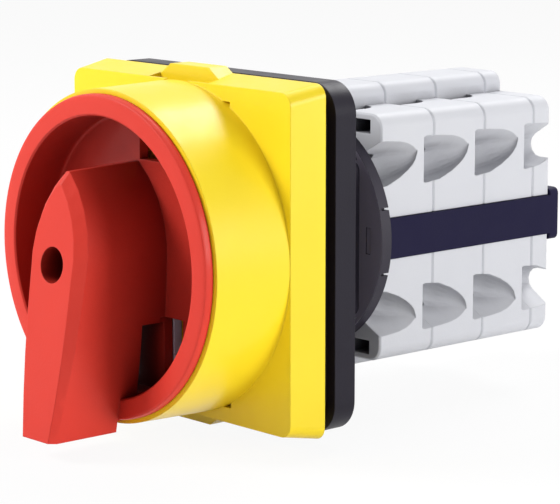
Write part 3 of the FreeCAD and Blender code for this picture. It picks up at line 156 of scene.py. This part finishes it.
# Handle screw. A zinc-plated pan-head screw low in the hole of the grip, in shade. The same
# plating is on the other screws, the spindle and the index rollers.
def plated_metal(name, code, shade_code, roughness, line_mm):
    """A plated or stamped metal with fine drawing lines along the spindle, their spacing in
    millimetres, and a stain of 4 mm in its colour."""
    material = bpy.data.materials.new(name)
    material.use_nodes = True
    tree = material.node_tree
    shader = tree.nodes["Principled BSDF"]
    shader.inputs["Metallic"].default_value = 1.0
    place = add_node(tree, "ShaderNodeTexCoord").outputs["Object"]
    stain = add_node(tree, "ShaderNodeTexNoise", {"Vector": place},
                     Scale=1 / (4 * MM), Detail=2.0, Roughness=0.5)
    tint = add_node(tree, "ShaderNodeMix", {"Factor": stain.outputs["Fac"]}, data_type="RGBA")
    tint.inputs[FIRST].default_value = linear(code)
    tint.inputs[SECOND].default_value = linear(shade_code)
    tree.links.new(tint.outputs[MIXED], shader.inputs["Base Color"])
    drawn = add_node(tree, "ShaderNodeMapping", {"Vector": place}, Scale=(1.0, 0.1, 1.0))
    lines = add_node(tree, "ShaderNodeTexNoise", {"Vector": drawn.outputs["Vector"]},
                     Scale=1 / (line_mm * MM), Detail=3.0, Roughness=0.6)
    gloss = add_node(tree, "ShaderNodeMapRange", {"Value": lines.outputs["Fac"]},
                     **{"From Min": 0.3, "From Max": 0.7,
                        "To Min": roughness - 0.08, "To Max": roughness + 0.08})
    tree.links.new(gloss.outputs["Result"], shader.inputs["Roughness"])
    edge = add_node(tree, "ShaderNodeBevel", samples=6, Radius=0.1 * MM)
    bump = add_node(tree, "ShaderNodeBump",
                    {"Height": lines.outputs["Fac"], "Normal": edge.outputs["Normal"]},
                    Strength=0.15, Distance=0.05 * MM)
    tree.links.new(bump.outputs["Normal"], shader.inputs["Normal"])
    return material


screw_zinc = plated_metal("zinc_plated_steel", "#8E8C8C", "#7C7A7B", roughness=0.35,
                          line_mm=0.2)
dress("handle_screw", screw_zinc)

# Padlock slide. A pale grey plate moulded in acetal, behind the windows of the bowl. Its
# grain shows where the light falls through a window.
slide_acetal = moulded_plastic("acetal_grey", "#DDD2E2", "#D3C8D8", roughness=0.5)
dress("lock_slide", slide_acetal)

# Latch housing. The dark neck and flange behind the frame, of a polyamide like the frame's.
# The flange's front face, which faces the frame and lies in its shade, has a paler grey than
# its rim as painted light.
FLANGE_PAINTED_LIGHT_GREY = "#8E8899"
FLANGE_REAR = 18.2


def second_tone(material, factor_output, code):
    """Give a plastic a second colour where the factor is one."""
    tree = material.node_tree
    colour = tree.nodes["Principled BSDF"].inputs["Base Color"]
    both = add_node(tree, "ShaderNodeMix",
                    {"Factor": factor_output, FIRST: colour.links[0].from_socket},
                    data_type="RGBA")
    both.inputs[SECOND].default_value = linear(code)
    tree.links.new(both.outputs[MIXED], colour)


latch_plastic = moulded_plastic("polyamide_dark_flange", "#2E2A36", "#2A2631",
                                roughness=0.5, grain_depth=0.3, specular=0.3)
tree = latch_plastic.node_tree
# Painted light: faces turned towards the frame get the paler grey, as if lit.
way = add_node(tree, "ShaderNodeTexCoord").outputs["Normal"]
towards = add_node(tree, "ShaderNodeSeparateXYZ", {"Vector": way})
painted_light_face = add_node(tree, "ShaderNodeMath", {0: towards.outputs["Y"]},
                      operation="LESS_THAN")
painted_light_face.inputs[1].default_value = -0.7
second_tone(latch_plastic, painted_light_face.outputs[0], FLANGE_PAINTED_LIGHT_GREY)
dress("latch_housing", latch_plastic)

# Stage housings, end plate and rear cap. Light grey mouldings of glass-filled polycarbonate,
# satin, with a soft edge at each seam and a painted shade, a darker tone, in the wire scoops
# and wells.
stage_plastic = moulded_plastic("polycarbonate_light_grey", "#D6D7DC", "#D0D1D7",
                                roughness=0.5, specular=0.3,
                                painted_shade_code="#4C4B54", painted_shade_mm=7.0, painted_shade_open=0.78)
for name in ("stage_housing_1", "stage_housing_2", "stage_housing_3", "end_plate"):
    dress(name, stage_plastic)
cap_plastic = moulded_plastic("polycarbonate_cap_grey", "#C9CACF", "#C2C3C8", roughness=0.5)
dress("rear_cap", cap_plastic)

# Clamping bars. Navy polyamide strips that lie in the side grooves and hold the stack. The
# thin tongue that each pushes through the flange takes the pale grey that the flange's front
# face has as painted light.
bar_polyamide = moulded_plastic("polyamide_navy", "#1C1938", "#181532",
                                roughness=0.55, grain_depth=0.25, specular=0.1)
tree = bar_polyamide.node_tree
place = add_node(tree, "ShaderNodeTexCoord").outputs["Object"]
along = add_node(tree, "ShaderNodeSeparateXYZ", {"Vector": place})
tongue = add_node(tree, "ShaderNodeMath", {0: along.outputs["Y"]}, operation="LESS_THAN")
tongue.inputs[1].default_value = FLANGE_REAR * MM
second_tone(bar_polyamide, tongue.outputs[0], FLANGE_PAINTED_LIGHT_GREY)
for name in ("clamp_bar_right", "clamp_bar_left"):
    dress(name, bar_polyamide)

# Inner pieces: contacts stamped from brass strip, zinc-plated screws, wound springs, and cams
# and plungers moulded in white acetal. Drawing lines run along the metal.
contact_brass = plated_metal("stamped_brass", "#C9A65A", "#BC9A50", roughness=0.3,
                             line_mm=0.25)
spring_steel = plated_metal("spring_steel", "#A6A7AA", "#9A9B9F", roughness=0.3, line_mm=0.15)
cam_acetal = moulded_plastic("acetal_white", "#E8E7E0", "#E2E1DA", roughness=0.45,
                             grain_depth=0.15)
for name in sorted(nodes):
    if name.startswith(("contact_bridge", "fixed_contacts")):
        dress(name, contact_brass)
    elif name.startswith(("cam_", "plunger_", "index_wheel")):
        dress(name, cam_acetal)
    elif name.startswith(("terminal_screws", "latch_screws", "index_roller", "spindle")):
        dress(name, screw_zinc)
    elif "spring" in name:
        dress(name, spring_steel)

# Floor. One white sheet of paper that the switch floats just above, as in a product photo.
# It looks white to the camera and in reflections, and keeps a faint shadow.
FLOOR_GAP = 1.5 * MM
FLOOR_REACH = 2.0
FLOOR_GLOW = 0.93


def seen_or_mirrored(tree):
    """One for rays from the camera and for rays that gloss or glass sends on, else zero."""
    rays = add_node(tree, "ShaderNodeLightPath")
    mirrored = add_node(tree, "ShaderNodeMath", {0: rays.outputs["Is Glossy Ray"],
                                                 1: rays.outputs["Is Transmission Ray"]},
                        operation="MAXIMUM")
    seen = add_node(tree, "ShaderNodeMath", {0: rays.outputs["Is Camera Ray"],
                                             1: mirrored.outputs[0]},
                    operation="MAXIMUM")
    return seen.outputs[0]


floor_low = cad_low.z - FLOOR_GAP
sheet = bpy.data.meshes.new("floor")
corners = [(x * FLOOR_REACH, y * FLOOR_REACH, floor_low)
           for x, y in ((-1, -1), (1, -1), (1, 1), (-1, 1))]
sheet.from_pydata(corners, [], [(0, 1, 2, 3)])
floor = bpy.data.objects.new("floor", sheet)
bpy.context.scene.collection.objects.link(floor)
paper = bpy.data.materials.new("white_paper")
paper.use_nodes = True
tree = paper.node_tree
diffuse = tree.nodes["Principled BSDF"]
diffuse.inputs["Base Color"].default_value = linear("#F4F4F4")
diffuse.inputs["Roughness"].default_value = 0.9
glow = add_node(tree, "ShaderNodeEmission", Color=(1.0, 1.0, 1.0, 1.0), Strength=1.0)
share = add_node(tree, "ShaderNodeMath", {0: seen_or_mirrored(tree)}, operation="MULTIPLY")
share.inputs[1].default_value = FLOOR_GLOW
mixed = add_node(tree, "ShaderNodeMixShader",
                 {"Fac": share.outputs[0], 1: diffuse.outputs[0], 2: glow.outputs[0]})
tree.links.new(mixed.outputs[0], tree.nodes["Material Output"].inputs["Surface"])
sheet.materials.append(paper)

# World. An even pale light from all sides, as white walls give it, and plain white where the
# camera sees it or gloss mirrors it.
world = bpy.data.worlds.new("studio")
bpy.context.scene.world = world
world.use_nodes = True
tree = world.node_tree
for old in list(tree.nodes):
    tree.nodes.remove(old)
fill = add_node(tree, "ShaderNodeBackground", Color=(1.0, 1.0, 1.0, 1.0), Strength=0.2)
white = add_node(tree, "ShaderNodeBackground", Color=(1.0, 1.0, 1.0, 1.0), Strength=1.0)
mixed = add_node(tree, "ShaderNodeMixShader",
                 {"Fac": seen_or_mirrored(tree), 1: fill.outputs[0], 2: white.outputs[0]})
add_node(tree, "ShaderNodeOutputWorld", {"Surface": mixed.outputs[0]})


# Lamps. A key lamp high on the front left, a lamp behind the shroud on the right for the
# stack's side, and one above the stack. Places and sizes are in metres.
def soft_lamp(name, place, target, size, watts):
    """A square studio lamp that faces a point."""
    data = bpy.data.lights.new(name, "AREA")
    data.size = size
    data.energy = watts
    lamp = bpy.data.objects.new(name, data)
    lamp.location = place
    lamp.rotation_mode = "QUATERNION"
    lamp.rotation_quaternion = (Vector(target) - Vector(place)).to_track_quat("-Z", "Y")
    bpy.context.scene.collection.objects.link(lamp)


soft_lamp("key_lamp", (-0.4, -0.5, 0.45), (0, 0, 0), size=0.25, watts=5.2)
soft_lamp("side_lamp", (0.62, 0.21, 0.14), (0, 0.03, 0), size=0.3, watts=2.5)
soft_lamp("top_lamp", (-0.1, 0.42, 0.5), (0, 0.02, 0), size=0.3, watts=2.4)

# Camera. A long lens where the photo was taken from, turned to the switch's right and a
# little above it. The last line's distances are in millimetres.
TURN = math.radians(48.2)
LIFT = math.radians(10.0)
right = Vector((math.cos(TURN), math.sin(TURN), 0))
back = Vector((math.sin(TURN) * math.cos(LIFT), -math.cos(TURN) * math.cos(LIFT),
               math.sin(LIFT)))
up = back.cross(right)
camera_data = bpy.data.cameras.new("camera")
camera_data.sensor_width = 36
camera_data.lens = 164.67
camera = bpy.data.objects.new("camera", camera_data)
camera.matrix_world = Matrix((right, up, back)).transposed().to_4x4()
camera.location = (back * 491.9 + right * 7.88 + up * -2.8) * MM
bpy.context.scene.collection.objects.link(camera)
bpy.context.scene.camera = camera
bpy.context.scene.view_settings.view_transform = "Standard"
